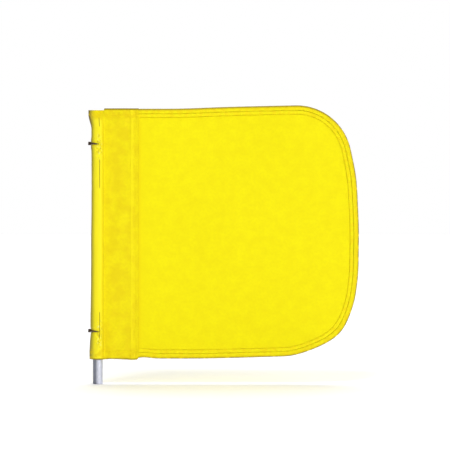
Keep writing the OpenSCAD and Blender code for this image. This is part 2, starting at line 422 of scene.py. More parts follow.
# ---------------------------------------------------------------- sleeve strip
TIE_HEIGHTS = {"lower_tie": STRIP_LOW + 31.2 * MM, "upper_tie": STRIP_HIGH - 40.4 * MM}
TIE_TILT = math.radians(5)
TIE_R = 7.2 * MM                    # middle of the strap's way round the pole
TIE_WIDTH, TIE_THICK = 1.8 * MM, 0.7 * MM
TIE_CUTS = 220                      # cross-sections round a strap; every fourth has a tooth
TIE_ROUND = 0.15 * MM               # rounding of the strap's edges
TIE_HEAD = Vector((3.0, 3.6, 3.8)) * MM
TIE_TAIL = 2.6 * MM                 # the cut end that stands out of the head
POCKET_ROW = NECK_X + 0.8 * MM
INNER_ROW, OUTER_ROW = (float((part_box(n)[0].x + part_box(n)[1].x) / 2)
                        for n in ("strip_seam_inner", "strip_seam_outer"))
RIB_X = INNER_ROW - 3.8 * MM        # a rib where the strip's hem allowance ends underneath
BOTTOM_ROW, TOP_ROW, CLOSING_ROW = (float((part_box(n)[0].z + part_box(n)[1].z) / 2)
                                    for n in ("sleeve_bottom_seam", "sleeve_top_seam", "pocket_end_seam"))


def leg_rise(x, z, side):
    """How far a leg's cloth stands off its flat place: stitched down at the rows, wrinkled between them."""
    seed = 41 if side < 0 else 45
    drag = bumps((x - 0.55 * z) / (7 * MM), (z + 0.3 * x) / (26 * MM) + 60, seed)
    upright = bumps(x / (6 * MM), z / (34 * MM) + 30, seed + 1)
    small = bumps(x / (4.5 * MM), z / (5 * MM), seed + 2)
    wrinkle = 0.50 + 0.50 * drag + 0.30 * upright + 0.09 * small
    body = ramp(x, NECK_X, NECK_X + 8 * MM) * ramp(x, RIB_X + 1 * MM, RIB_X - 5 * MM)
    rib = 0.75 * hill(x, RIB_X, 1.5 * MM) * (1 + 0.25 * small)
    strap = 0.25 * ramp(x, RIB_X, RIB_X + 2 * MM) * (1 + 0.5 * small)
    pucker = bumps(x / (3.3 * MM), z / (7 * MM), seed + 3)
    depth = np.minimum(z - STRIP_LOW, STRIP_HIGH - z)
    hem = ramp(depth, 10.8 * MM, 10 * MM) * (0.34 + 0.26 * pucker)
    rise = wrinkle * body + rib + strap + hem
    for row in (BOTTOM_ROW, TOP_ROW):
        rise = rise * (1 - 0.8 * hill(z, row, 1.3 * MM))
    for row in (POCKET_ROW, INNER_ROW, OUTER_ROW):
        rise = rise * (1 - 0.6 * hill(x, row, 0.6 * MM))
    over_tape = 0.50 * ramp(x, INNER_ROW + 1 * MM, TAPE_START) * ramp(depth, 13 * MM, 11 * MM)
    return np.maximum(rise, over_tape) * MM


def creased(u, v, seed):
    """Noise with sharp ridges, as in crumpled coated cloth."""
    return 1 - 2 * np.sqrt(np.abs(bumps(u, v, seed)))


def pocket_offset(x, z, side, turn):
    """What ties, creases and folds add to the pocket's radius. turn is the distance round the pocket."""
    seed = 51 if side < 0 else 55
    off = 0.16 * bumps(turn / (6 * MM), z / (21 * MM), seed)
    off = off + 0.07 * bumps(turn / (3 * MM), z / (6 * MM), seed + 1)
    for height in TIE_HEIGHTS.values():
        level = z - height + x * math.tan(TIE_TILT)
        under = ramp(x, 2.5 * MM, 0.5 * MM)
        off = off - 0.25 * under * hill(level, 0, 1.5 * MM)
        off = off + 0.22 * under * (hill(level, 4 * MM, 2.4 * MM) + hill(level, -4 * MM, 2.4 * MM))
        crumple = creased((x + 0.3 * z) / (2.0 * MM), z / (2.7 * MM), seed + 2)
        off = off + 1.15 * crumple * hill(x, 1.8 * MM, 3.2 * MM) * hill(level, -4 * MM, 12 * MM)
        off = off - 0.7 * hill(x, 1.3 * MM, 1.0 * MM) * hill(level, 0, 1.6 * MM)
    lap = 0.25 + 0.2 * bumps(z / (23 * MM), z * 0, seed + 3)
    for height, half in LAP_GAPES:
        lap = lap + 0.75 * ramp(np.abs(z - height), half + 2 * MM, half - 2 * MM)
    edge = 0.30 * ramp(x, LAP_X + 0.2 * MM, LAP_X - 0.1 * MM) * ramp(x, LAP_X - 4.5 * MM, LAP_X)
    groove = 0.75 * hill(x, LAP_X + 0.25 * MM, 0.28 * MM)
    return (off + lap * (edge - groove) * (1 if side < 0 else 0.3)) * MM


def lean(z):
    """The pocket's left side hangs wider towards its foot and closer above its middle, and a tie holds it."""
    low = ramp(z, STRIP_LOW + 100 * MM, STRIP_LOW + 20 * MM)
    high = ramp(z, STRIP_LOW + 120 * MM, STRIP_LOW + 190 * MM)
    wide = (0.9 * low - 0.5 * high) * MM
    for height in TIE_HEIGHTS.values():
        wide = wide * (1 - hill(z, height, 6 * MM))
    return wide


def strip_heights():
    """Shares of the strip's height, closer together near the ties and the ends."""
    tall = STRIP_HIGH - STRIP_LOW
    z = np.linspace(0, tall, 3000)
    step = np.full(len(z), 1.7 * MM)
    for height in TIE_HEIGHTS.values():
        step = step - 1.05 * MM * ramp(np.abs(z + STRIP_LOW - height), 22 * MM, 12 * MM)
    step = step - 0.8 * MM * (ramp(z, 14 * MM, 8 * MM) + ramp(tall - z, 24 * MM, 18 * MM))
    count = np.r_[0, np.cumsum(1 / step[:-1])]
    return np.interp(np.linspace(0, count[-1], STRIP_ROWS), count, z / tall)


def sleeve_cloth():
    """The folded strip: a leg on each face of the flag, joined by the pocket round the pole."""
    shoulder = math.radians(SHOULDER_DEG)
    leg_x = np.r_[np.linspace(STRIP_X, INNER_ROW - 1 * MM, 12),
                  np.linspace(INNER_ROW - 1.7 * MM, RIB_X - 3 * MM, 9),
                  np.linspace(RIB_X - 5 * MM, NECK_X, 16)]
    turn = np.r_[np.radians(np.linspace(SHOULDER_DEG, 70, 12)), np.radians(np.linspace(72, 90, 16)),
                 np.radians(np.linspace(93, 180, 27))]
    heights = strip_heights()
    legs, pocket = len(leg_x), len(turn)

    def half(side):
        """Outer points from the leg's edge to the pocket's left side, as arrays over path and height."""
        cloth_x = np.r_[leg_x, POCKET_R * np.cos(turn)]
        tall = np.where(np.arange(legs + pocket) <= legs, STRIP_HIGH, POCKET_TOP)
        corner = 1.6 * MM * ramp(cloth_x, STRIP_X - 2 * MM, STRIP_X + 0.5 * MM)
        drop = 0.6 * MM * hill(cloth_x, 0, 9 * MM) + 1.3 * MM * hill(cloth_x, STRIP_X - 7 * MM, 8 * MM)
        low = STRIP_LOW + corner - drop + 0.3 * MM * bumps(cloth_x / (7 * MM), cloth_x * 0 + 3, 61)
        z = low[:, None] + (tall - low)[:, None] * heights[None, :]
        x = np.repeat(cloth_x[:, None], len(heights), axis=1)
        out = np.zeros_like(z)
        out[:legs] = LEG_OUT + leg_rise(x[:legs], z[:legs], side)
        angle = np.repeat(turn[:, None], len(heights), axis=1)
        zp = z[legs:]
        flatness = ramp(zp, CLOSING_Z - 3 * MM, FLAT_Z)
        snug = 0.6 * MM * ramp(angle, math.radians(75), shoulder)
        r = POCKET_R - snug + pocket_offset(x[legs:], zp, side, angle * POCKET_R)
        mouth = ramp(zp, STRIP_LOW + 30 * MM, STRIP_LOW + 4 * MM) * ramp(angle, 1.6, math.pi)
        reach = r + 0.9 * MM * mouth + lean(zp) * ramp(angle, 1.6, math.pi)
        round_x, round_y = reach * np.cos(angle), r * np.sin(angle)
        share = (angle - shoulder) / (math.pi - shoulder)
        flat_x = POCKET_R * math.cos(shoulder) * (1 - share) + POCKET_LEFT * share
        flat_y = LEG_OUT * np.clip(1 - share ** 10, 0, 1)
        x[legs:] = round_x * (1 - flatness) + flat_x * flatness
        out[legs:] = round_y * (1 - flatness) + flat_y * flatness
        return np.stack([x, side * out, z], axis=-1)

    front, back = half(-1), half(1)
    outer = np.concatenate([front, back[-2::-1]])
    step = np.gradient(outer[..., :2], axis=0)
    step = step / np.linalg.norm(step, axis=-1, keepdims=True)
    normal = np.stack([-step[..., 1], step[..., 0], np.zeros(step.shape[:2])], axis=-1)
    to_inside = np.sign((normal[0, 0] * np.array([0, 1, 0])).sum())
    inner = outer + normal * to_inside * STRIP_T

    def section(side):
        """One half's outline without its wrinkles, from the leg's edge to the pocket's left side."""
        return np.stack([np.r_[leg_x, POCKET_R * np.cos(turn)],
                         side * np.r_[np.full(legs, LEG_OUT), POCKET_R * np.sin(turn)]], axis=-1)

    outline = np.concatenate([section(-1), section(1)[-2::-1]])
    path = np.r_[0, np.cumsum(np.linalg.norm(np.diff(outline, axis=0), axis=1))]
    round_part = slice(legs, legs + pocket)
    lap_place = np.interp(LAP_X + 0.25 * MM, outline[round_part, 0][::-1], path[round_part][::-1])
    flat = np.stack([np.repeat(path[:, None], len(heights), axis=1), outer[..., 2]], axis=-1)
    cloth = shell("sleeve_cloth", outer, inner, flat)
    return cloth, float(path[-1]), float(path[-1] / 2 - path[legs - 1]), float(lap_place)


def straight_stitches(name, start, end, face):
    """Rows of stitches on both faces of the strip between two points (x, z). face gives the cloth's y."""
    starts, ends, sides = [], [], []
    start, end = np.array(start), np.array(end)
    count = int(np.linalg.norm(end - start) / STITCH)
    t = np.linspace(0, 1, count + 1)[:, None]
    holes = start + (end - start) * t
    for side in (-1, 1):
        y = side * (LEG_OUT + face(holes[:, 0], holes[:, 1], side) * (holes[:, 0] > NECK_X))
        hole = np.stack([holes[:, 0], y, holes[:, 1]], axis=-1)
        starts += list(hole[:-1])
        ends += list(hole[1:])
        sides += [side] * count
    return stitches(name, starts, ends, sides)


# ---------------------------------------------------------------- ties
def once(items):
    """Each item once, in the order in which it comes."""
    return list(dict.fromkeys(items))


def tie_strap(name, node):
    """A cable tie: outside the pocket on the left, inside it on the right, with its head at the left."""
    low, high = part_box(node)
    height = TIE_HEIGHTS[node]
    out_r, in_r = high.y - TIE_THICK / 2, pole_high.y + 0.4 * MM + TIE_THICK / 2
    angles = np.linspace(0, 2 * math.pi, TIE_CUTS, endpoint=False)
    section = []
    for cx, cy, a0 in ((1, 1, 0), (-1, 1, 90), (-1, -1, 180), (1, -1, 270)):
        for a in (0, 45, 90):
            turn = math.radians(a0 + a)
            section.append((cx * (TIE_THICK / 2 - TIE_ROUND) + TIE_ROUND * math.cos(turn),
                            cy * (TIE_WIDTH / 2 - TIE_ROUND) + TIE_ROUND * math.sin(turn)))
    section = np.array(section)
    # the strap goes through the pocket's cloth a little to the right of the pole's middle
    inside = ramp(np.cos(angles) * TIE_R, 0.3 * MM, 2.0 * MM)
    r = out_r + (in_r - out_r) * inside
    tooth = 0.05 * MM * (np.arange(len(angles)) % 4 == 0)
    verts = []
    drawn_in = 1 - 0.6 * ramp(np.cos(angles) * out_r, -3.5 * MM, 1.2 * MM)
    for a, radius, raised, share in zip(angles, r, tooth, drawn_in):
        away = np.array([math.cos(a), math.sin(a), 0])
        rad = radius + section[:, 0] + np.where(section[:, 0] > 0, raised, 0)
        verts.append(rad[:, None] * away + np.outer(section[:, 1] * share, [0, 0, 1]))
    verts = np.array(verts)
    n, k = verts.shape[:2]
    index = np.arange(n * k).reshape(n, k)
    after = np.roll(index, -1, axis=0)
    faces = np.stack([index, after, np.roll(after, -1, axis=1), np.roll(index, -1, axis=1)], axis=-1)
    faces = faces.reshape(-1, 4)
    strap = make_object(name, verts.reshape(-1, 3), faces)

    bm = bmesh.new()
    bm.from_mesh(strap.data)
    head_x = low.x + 0.1 * MM
    box = bmesh.ops.create_cube(bm, size=1)["verts"]
    for v in box:
        v.co = v.co * TIE_HEAD
    ends = [f for f in once(f for v in box for f in v.link_faces) if abs(f.normal.y) > 0.5]
    bmesh.ops.inset_individual(bm, faces=ends, thickness=0.75 * MM)
    for f in ends:
        sink = f.normal * -0.8 * MM
        for v in f.verts:
            v.co += sink
    edges = once(e for v in box for e in v.link_edges if e.is_valid)
    bmesh.ops.bevel(bm, geom=edges, offset=0.35 * MM, segments=3, profile=0.5, affect="EDGES")
    bm.verts.ensure_lookup_table()
    bm.verts.index_update()
    head = [v for v in bm.verts if v.index >= n * k]
    for v in head:
        v.co += Vector((head_x + TIE_HEAD.x / 2, 0, 0))
    tail = bmesh.ops.create_cube(bm, size=1)["verts"]
    for v in tail:
        v.co = v.co * Vector((TIE_THICK, TIE_TAIL, TIE_WIDTH))
        v.co += Vector((head_x + TIE_HEAD.x / 2 - 0.1 * MM, -TIE_TAIL / 2, 0))
    edges = once(e for v in tail for e in v.link_edges)
    bmesh.ops.bevel(bm, geom=edges, offset=0.12 * MM, segments=2, profile=0.5, affect="EDGES")
    for v in bm.verts:
        x, z = v.co.x, v.co.z
        v.co.x = x * math.cos(TIE_TILT) + z * math.sin(TIE_TILT)
        v.co.z = -x * math.sin(TIE_TILT) + z * math.cos(TIE_TILT) + height
    bmesh.ops.recalc_face_normals(bm, faces=bm.faces)
    bm.to_mesh(strap.data)
    bm.free()
    strap.data.polygons.foreach_set("use_smooth", [True] * len(strap.data.polygons))
    return strap


# ---------------------------------------------------------------- materials
SATIN_TINT = (1, 0.88, 0.18, 1)     # the coat reflects a yellow highlight
WAVE_BANDS = 3.18                   # bands in a metre of a wave texture of scale 1

FLAG_LIGHT, FLAG_DARK = (0.895, 0.795, 0.006), (0.862, 0.748, 0.006)
FLAG_BY_STRIP, FLAG_NEAR_STRIP = (0.815, 0.665, 0.006), (0.84, 0.71, 0.006)
STRIP_LIGHT, STRIP_DARK = (0.86, 0.735, 0.008), (0.80, 0.64, 0.008)
# painted highlight on the pocket
POCKET_HIGHLIGHT = (0.885, 0.77, 0.020)
# painted highlight along the rib
RIB_HIGHLIGHT = (0.92, 0.80, 0.012)
# painted shade in the hollow beside the pocket
HOLLOW_SHADE = (0.74, 0.60, 0.006)
# painted shade of the puckers in the strip's hems
HEM_PUCKER_SHADE = (0.76, 0.57, 0.008)
# painted glints in the crumpled cloth near the ties
GLINT_YELLOW = (0.96, 0.95, 0.26)
# painted shade flecks in the crumpled cloth near the ties
CRUMPLE_SHADE = (0.36, 0.26, 0.02)
TAPE_LIGHT, TAPE_DARK = (0.89, 0.80, 0.008), (0.885, 0.715, 0.008)
# painted shade towards the tape's fold
TAPE_FOLD_SHADE = (0.62, 0.46, 0.012)
# painted shade in folds, along edges and in the lap line
SHADE_BROWN = (0.20, 0.13, 0.02)
# painted shade on the pocket's left side
LEFT_SIDE_SHADE = (0.20, 0.155, 0.045)
# painted shade along the left edge of the pocket's pressed end
PRESSED_END_SHADE = (0.13, 0.085, 0.04)
THREAD_LIGHT, THREAD_DARK = (0.93, 0.84, 0.008), (0.86, 0.71, 0.007)
TUBE_LIGHT, TUBE_DARK = (0.66, 0.68, 0.79), (0.57, 0.59, 0.69)
# painted shade on the tube's left side
TUBE_LEFT_SHADE = (0.26, 0.275, 0.33)
TIE_LIGHT, TIE_DARK = (0.090, 0.050, 0.030), (0.050, 0.027, 0.017)
PLUG_LIGHT, PLUG_DARK = (0.05, 0.05, 0.05), (0.03, 0.03, 0.03)


def new_material(name, colour, roughness, **sockets):
    material = bpy.data.materials.new(name)
    material.use_nodes = True
    shader = material.node_tree.nodes["Principled BSDF"]
    shader.inputs["Base Color"].default_value = (*colour, 1)
    shader.inputs["Roughness"].default_value = roughness
    for socket, value in sockets.items():
        shader.inputs[socket.replace("_", " ")].default_value = value
    return material, material.node_tree, shader


def link(tree, a, out, b, into):
    tree.links.new(a.outputs[out], b.inputs[into])


def place_in_cloth(tree):
    node = tree.nodes.new("ShaderNodeAttribute")
    node.attribute_name = "flat_place"
    return node


def noise(tree, place, output, scale, detail=2.0):
    node = tree.nodes.new("ShaderNodeTexNoise")
    node.inputs["Scale"].default_value = scale
    node.inputs["Detail"].default_value = detail
    link(tree, place, output, node, "Vector")
    return node


def colour_ramp(tree, source, output, stops):
    node = tree.nodes.new("ShaderNodeValToRGB")
    node.color_ramp.elements[0].position, node.color_ramp.elements[0].color = stops[0][0], (*stops[0][1], 1)
    node.color_ramp.elements[1].position, node.color_ramp.elements[1].color = stops[-1][0], (*stops[-1][1], 1)
    for at, colour in stops[1:-1]:
        node.color_ramp.elements.new(at).color = (*colour, 1)
    link(tree, source, output, node, "Fac")
    return node


def bump(tree, source, output, distance, strength=1.0):
    """A Bump node whose height is another node's output."""
    node = tree.nodes.new("ShaderNodeBump")
    node.inputs["Strength"].default_value = strength
    node.inputs["Distance"].default_value = distance
    link(tree, source, output, node, "Height")
    return node


def weave_height(tree, place, pitch):
    """A plain weave: warp and weft ridges that pass over and under each other."""
    waves = []
    for direction in ("X", "Y"):
        wave = tree.nodes.new("ShaderNodeTexWave")
        wave.bands_direction = direction
        wave.inputs["Scale"].default_value = 1 / pitch / WAVE_BANDS
        wave.inputs["Distortion"].default_value = 0
        link(tree, place, "Vector", wave, "Vector")
        waves.append(wave)
    both = tree.nodes.new("ShaderNodeMath")
    both.operation = "MAXIMUM"
    link(tree, waves[0], "Fac", both, 0)
    link(tree, waves[1], "Fac", both, 1)
    return both


def maths(tree, operation, a, b=None):
    """A Math node of two inputs; each is a socket or a number."""
    node = tree.nodes.new("ShaderNodeMath")
    node.operation = operation
    for slot, value in enumerate((a, b)):
        if value is None:
            continue
        if isinstance(value, (int, float)):
            node.inputs[slot].default_value = value
        else:
            tree.links.new(value, node.inputs[slot])
    return node.outputs[0]


def soft_step(tree, value, low, high, start=0.0, end=1.0):
    node = tree.nodes.new("ShaderNodeMapRange")
    node.interpolation_type = "SMOOTHSTEP"
    node.inputs["From Min"].default_value = low
    node.inputs["From Max"].default_value = high
    node.inputs["To Min"].default_value = start
    node.inputs["To Max"].default_value = end
    tree.links.new(value, node.inputs["Value"])
    return node.outputs["Result"]


def blend_colour(tree, amount, under, over):
    """under where amount is 0 and over where it is 1; each is a socket or a colour."""
    node = tree.nodes.new("ShaderNodeMix")
    node.data_type = "RGBA"
    tree.links.new(amount, node.inputs["Factor"])
    for slot, value in ((6, under), (7, over)):
        if isinstance(value, tuple):
            node.inputs[slot].default_value = (*value, 1)
        else:
            tree.links.new(value, node.inputs[slot])
    return node.outputs[2]


def cloth_material(name, light, dark, pitch, slub, contrast=(0.35, 0.65), shade=None):
    """Coated woven cloth: fine weave, slow unevenness of the coat, and a soft satin surface. pitch is the
    weave's and slub the scale of the unevenness. shade(tree, x, y, colour) returns the colour with the
    piece's painted shade, painted highlights and changes of tone added."""
    material, tree, shader = new_material(name, light, 0.62, Sheen_Weight=0.05, Sheen_Roughness=0.4)
    shader.inputs["Specular IOR Level"].default_value = 0.25
    shader.inputs["Specular Tint"].default_value = SATIN_TINT
    shader.inputs["Sheen Tint"].default_value = SATIN_TINT
    place = place_in_cloth(tree)
    tone = noise(tree, place, "Vector", slub, 4)
    colours = colour_ramp(tree, tone, "Fac", [(contrast[0], dark), (contrast[1], light)])
    grain = noise(tree, place, "Vector", 330, 3)
    grained = blend_colour(tree, soft_step(tree, grain.outputs["Fac"], 0.35, 0.7, 0.0, 0.35),
                           colours.outputs["Color"], tuple(0.93 * c for c in dark))
    colour = grained
    if shade:
        axes = tree.nodes.new("ShaderNodeSeparateXYZ")
        tree.links.new(place.outputs["Vector"], axes.inputs[0])
        colour = shade(tree, axes.outputs["X"], axes.outputs["Y"], grained)
    tree.links.new(colour, shader.inputs["Base Color"])
    coat = noise(tree, place, "Vector", 420, 3)
    tree.links.new(soft_step(tree, coat.outputs["Fac"], 0.2, 0.8, 0.48, 0.72), shader.inputs["Roughness"])
    fine = bump(tree, weave_height(tree, place, pitch), "Value", 0.08 * MM, 0.35)
    soft = bump(tree, coat, "Fac", 0.25 * MM, 0.6)
    link(tree, fine, "Normal", soft, "Normal")
    link(tree, soft, "Normal", shader, "Normal")
    return material


def broken(tree, x, y, scale, low, high):
    """Patchy noise for wear, from 0 to 1, over a piece's flat place."""
    spot = tree.nodes.new("ShaderNodeCombineXYZ")
    tree.links.new(x, spot.inputs["X"])
    tree.links.new(y, spot.inputs["Y"])
    patches = noise(tree, spot, "Vector", scale, 3)
    return soft_step(tree, patches.outputs["Fac"], low, high)


def shade_tape(tree, along, across, colour):
    """Darker towards the fold with painted shade, deepest in the fold itself and along the upper edge."""
    depth = maths(tree, "ABSOLUTE", across)
    # painted shade that deepens towards the tape's fold
    slope = soft_step(tree, depth, 4.5 * MM, 0.5 * MM, 0, 0.5)
    fold_shaded = blend_colour(tree, slope, colour, TAPE_FOLD_SHADE)
    # painted shade in patches in the fold itself, and along the flag's upper edge
    patchy = broken(tree, along, across, 150, 0.30, 0.55)
    painted_shade_mask = maths(tree, "MULTIPLY", soft_step(tree, depth, 1.4 * MM, 0.5 * MM, 0, 0.9), patchy)
    upper = soft_step(tree, along, 250 * MM, 215 * MM)
    upper_edge_shade_mask = maths(tree, "MULTIPLY", upper, soft_step(tree, depth, 2.6 * MM, 0.6 * MM, 0, 0.72))
    return blend_colour(tree, maths(tree, "MAXIMUM", painted_shade_mask, upper_edge_shade_mask), fold_shaded, SHADE_BROWN)


def shade_flag(tree, x, z, colour):
    """A little deeper in tone beside the strip, and slightly deeper over a wider band beyond it."""
    near = soft_step(tree, x, STRIP_X + 4 * MM, STRIP_X + 0.5 * MM, 0, 0.75)
    beside = blend_colour(tree, near, colour, FLAG_BY_STRIP)
    wide = soft_step(tree, x, STRIP_X + 22 * MM, STRIP_X, 0, 0.35)
    return blend_colour(tree, wide, beside, FLAG_NEAR_STRIP)


def shade_strip(tree, along, z, colour):
    """Painted highlight on the pocket and along the rib; painted shade in the hollow beside the pocket, on
    the pocket's left side and pressed end, in the lap, along the ends and in the hems' puckers; painted
    glints and shade flecks near the ties."""
    off = maths(tree, "ABSOLUTE", maths(tree, "SUBTRACT", along, STRIP_WIDTH / 2))
    # painted highlight: a lighter, whiter yellow over the pocket below its pressed end
    pocket = maths(tree, "MULTIPLY", soft_step(tree, off, POCKET_REACH - 2.5 * MM, POCKET_REACH - 7.5 * MM),
                   soft_step(tree, z, STRIP_HIGH - 9 * MM, STRIP_HIGH - 15 * MM))
    pocket_highlighted = blend_colour(tree, pocket, colour, POCKET_HIGHLIGHT)
    # painted highlight along the rib on both legs
    rib = maths(tree, "ABSOLUTE", maths(tree, "SUBTRACT", off, POCKET_REACH + RIB_X - NECK_X))
    rib_highlight_mask = soft_step(tree, rib, 1.6 * MM, 0.3 * MM, 0, 0.55)
    rib_highlighted = blend_colour(tree, rib_highlight_mask, pocket_highlighted, RIB_HIGHLIGHT)
    # painted shade in the hollow between the pocket and the legs
    hollow = maths(tree, "ABSOLUTE", maths(tree, "SUBTRACT", off, POCKET_REACH - 3.5 * MM))
    hollow_shade_mask = soft_step(tree, hollow, 3.2 * MM, 0.4 * MM, 0, 0.55)
    hollow_shaded = blend_colour(tree, hollow_shade_mask, rib_highlighted, HOLLOW_SHADE)
    # painted shade on the pocket's left side, which turns away from the light
    left_side_shade_mask = soft_step(tree, off, 10 * MM, 2.5 * MM, 0, 0.78)
    shaded = blend_colour(tree, left_side_shade_mask, hollow_shaded, LEFT_SIDE_SHADE)
    # painted shade along the pressed end's left edge, near the top
    pressed_end_shade_mask = maths(tree, "MULTIPLY", soft_step(tree, off, 3.6 * MM, 1.0 * MM, 0, 0.8),
                         soft_step(tree, z, STRIP_HIGH - 26 * MM, STRIP_HIGH - 18 * MM))
    shaded = blend_colour(tree, pressed_end_shade_mask, shaded, PRESSED_END_SHADE)
    from_top = maths(tree, "SUBTRACT", STRIP_HIGH, z)
    from_foot = maths(tree, "SUBTRACT", z, STRIP_LOW)
    low_hem = soft_step(tree, from_foot, 13 * MM, 9 * MM)
    in_hem = maths(tree, "MAXIMUM", low_hem, soft_step(tree, from_top, 14 * MM, 9 * MM))
    # painted shade of the hems' puckers, in patches
    pucker_shade_mask = maths(tree, "MULTIPLY", in_hem, broken(tree, along, z, 190, 0.56, 0.42))
    shaded = blend_colour(tree, maths(tree, "MULTIPLY", pucker_shade_mask, 0.6), shaded, HEM_PUCKER_SHADE)
    # painted shade along the strip's top and foot edges
    top_edge_shade_mask = soft_step(tree, from_top, 2.8 * MM, 0.7 * MM, 0, 0.9)
    foot_edge_shade_mask = soft_step(tree, from_foot, 1.8 * MM, 0.1 * MM, 0, 0.9)
    patchy = maths(tree, "MAXIMUM", broken(tree, along, z, 70, 0.35, 0.55), 0.55)
    painted_shade_mask = maths(tree, "MAXIMUM", top_edge_shade_mask, maths(tree, "MULTIPLY", foot_edge_shade_mask, patchy))
    # painted shade in the lap line where it stands open
    lap = maths(tree, "ABSOLUTE", maths(tree, "SUBTRACT", along, LAP_PLACE))
    line = soft_step(tree, lap, 0.65 * MM, 0.25 * MM, 0, 0.8)
    gape = 0.0
    for height, half in LAP_GAPES:
        away = maths(tree, "ABSOLUTE", maths(tree, "SUBTRACT", z, height))
        gape = maths(tree, "ADD", soft_step(tree, away, half + 1.5 * MM, half - 1.5 * MM), gape)
    painted_shade_mask = maths(tree, "MAXIMUM", painted_shade_mask, maths(tree, "MULTIPLY", line, gape))
    lap_side = maths(tree, "ABSOLUTE", maths(tree, "SUBTRACT", off, STRIP_WIDTH / 2 - LAP_PLACE))
    by_lap = soft_step(tree, lap_side, 5 * MM, 1.5 * MM)
    by_tie = 0.0
    for height in TIE_HEIGHTS.values():
        away = maths(tree, "ABSOLUTE", maths(tree, "SUBTRACT", z, height - 3 * MM))
        by_tie = maths(tree, "ADD", soft_step(tree, away, 19 * MM, 9 * MM), by_tie)
    flecked = maths(tree, "MULTIPLY", by_lap, by_tie)
    tall = maths(tree, "MULTIPLY", z, 0.55)
    # painted glints and painted shade flecks in the crumpled cloth near the ties
    glint_mask = maths(tree, "MULTIPLY", flecked, 0.6)
    glint_mask = maths(tree, "MULTIPLY", glint_mask, broken(tree, along, tall, 520, 0.54, 0.68))
    crumple_shade_mask = maths(tree, "MULTIPLY", flecked, broken(tree, along, tall, 450, 0.46, 0.37))
    glinted = blend_colour(tree, glint_mask, shaded, GLINT_YELLOW)
    glinted_and_shaded = blend_colour(tree, maths(tree, "MULTIPLY", crumple_shade_mask, 0.55), glinted, CRUMPLE_SHADE)
    return blend_colour(tree, painted_shade_mask, glinted_and_shaded, SHADE_BROWN)


def thread_material():
    material, tree, shader = new_material("thread", (0.86, 0.72, 0.006), 0.6)
    shader.inputs["Specular IOR Level"].default_value = 0.2
    shader.inputs["Specular Tint"].default_value = SATIN_TINT
    place = place_in_cloth(tree)
    twist = tree.nodes.new("ShaderNodeTexWave")
    twist.bands_direction = "DIAGONAL"
    twist.inputs["Scale"].default_value = 900
    link(tree, place, "Vector", twist, "Vector")
    colours = colour_ramp(tree, twist, "Fac", [(0.2, THREAD_DARK), (0.8, THREAD_LIGHT)])
    link(tree, colours, "Color", shader, "Base Color")
    link(tree, bump(tree, twist, "Fac", 0.08 * MM), "Normal", shader, "Normal")
    return material


def tube_material():
    """Drawn aluminium tube: fine lines along the tube, a satin reflection and painted shade on its left side.
    """
    material, tree, shader = new_material("drawn_tube", (0.66, 0.68, 0.78), 0.42, Metallic=1.0)
    place = tree.nodes.new("ShaderNodeTexCoord")
    stretch = tree.nodes.new("ShaderNodeMapping")
    stretch.inputs["Scale"].default_value = (1, 1, 0.02)
    link(tree, place, "Object", stretch, "Vector")
    lines = noise(tree, stretch, "Vector", 4200, 4)
    spread = tree.nodes.new("ShaderNodeMapRange")
    spread.inputs["To Min"].default_value = 0.46
    spread.inputs["To Max"].default_value = 0.58
    link(tree, lines, "Fac", spread, "Value")
    link(tree, spread, "Result", shader, "Roughness")
    stain = noise(tree, place, "Object", 160, 3)
    colours = colour_ramp(tree, stain, "Fac", [(0.3, TUBE_DARK), (0.7, TUBE_LIGHT)])
    axes = tree.nodes.new("ShaderNodeSeparateXYZ")
    link(tree, place, "Object", axes, 0)
    # painted shade on the tube's left side, standing in for a darker reflection
    left_shade_mask = soft_step(tree, axes.outputs["X"], -0.4 * MM, -2.4 * MM, 0, 0.92)
    left_shaded = blend_colour(tree, left_shade_mask, colours.outputs["Color"], TUBE_LEFT_SHADE)
    tree.links.new(left_shaded, shader.inputs["Base Color"])
    link(tree, bump(tree, lines, "Fac", 0.03 * MM, 0.3), "Normal", shader, "Normal")
    return material


def moulded_material(name, light, dark, roughness, scale):
    """Moulded plastic: even colour with a faint grain."""
    material, tree, shader = new_material(name, light, roughness)
    place = tree.nodes.new("ShaderNodeTexCoord")
    grain = noise(tree, place, "Object", scale, 3)
    colours = colour_ramp(tree, grain, "Fac", [(0.35, dark), (0.65, light)])
    link(tree, colours, "Color", shader, "Base Color")
    link(tree, bump(tree, grain, "Fac", 0.04 * MM, 0.4), "Normal", shader, "Normal")
    return material


def dress(obj, material):
    obj.data.materials.clear()
    obj.data.materials.append(material)


# ---------------------------------------------------------------- stage
VIEW_WIDE = 508.5 * MM              # what the picture spans at the flag's plane
VIEW_X, VIEW_Z = 143.7 * MM, 179.3 * MM
LENS, SENSOR = 150, 36
FLOOR_R = 30
SUNS = (                            # name, direction it comes from, strength, spread in degrees
    ("right_key", (0.66, -0.72, 0.22), 0.485, 60),
    ("upper_left", (-0.16, -0.55, 0.82), 0.28, 12),
    ("overhead", (0, 0.25, 0.97), 0.52, 40),
    ("back_fill", (-0.12, 0.92, 0.36), 0.26, 60),
)


def make_camera():
    """Level view of the flag's front."""
    data = bpy.data.cameras.new("camera")
    data.lens, data.sensor_width = LENS, SENSOR
    camera = bpy.data.objects.new("camera", data)
    camera.location = (VIEW_X, -VIEW_WIDE * LENS / SENSOR, VIEW_Z)
    camera.rotation_euler = (math.pi / 2, 0, 0)
    data.clip_end = 60
    bpy.context.scene.collection.objects.link(camera)
    bpy.context.scene.camera = camera


def sun(name, away, strength, spread):
    """A soft light from the direction away, which lights the floor as evenly as the object."""
    data = bpy.data.lights.new(name, "SUN")
    data.energy, data.angle = strength * math.pi, math.radians(spread)
    light = bpy.data.objects.new(name, data)
    light.rotation_euler = Vector(away).to_track_quat("Z", "Y").to_euler()
    bpy.context.scene.collection.objects.link(light)


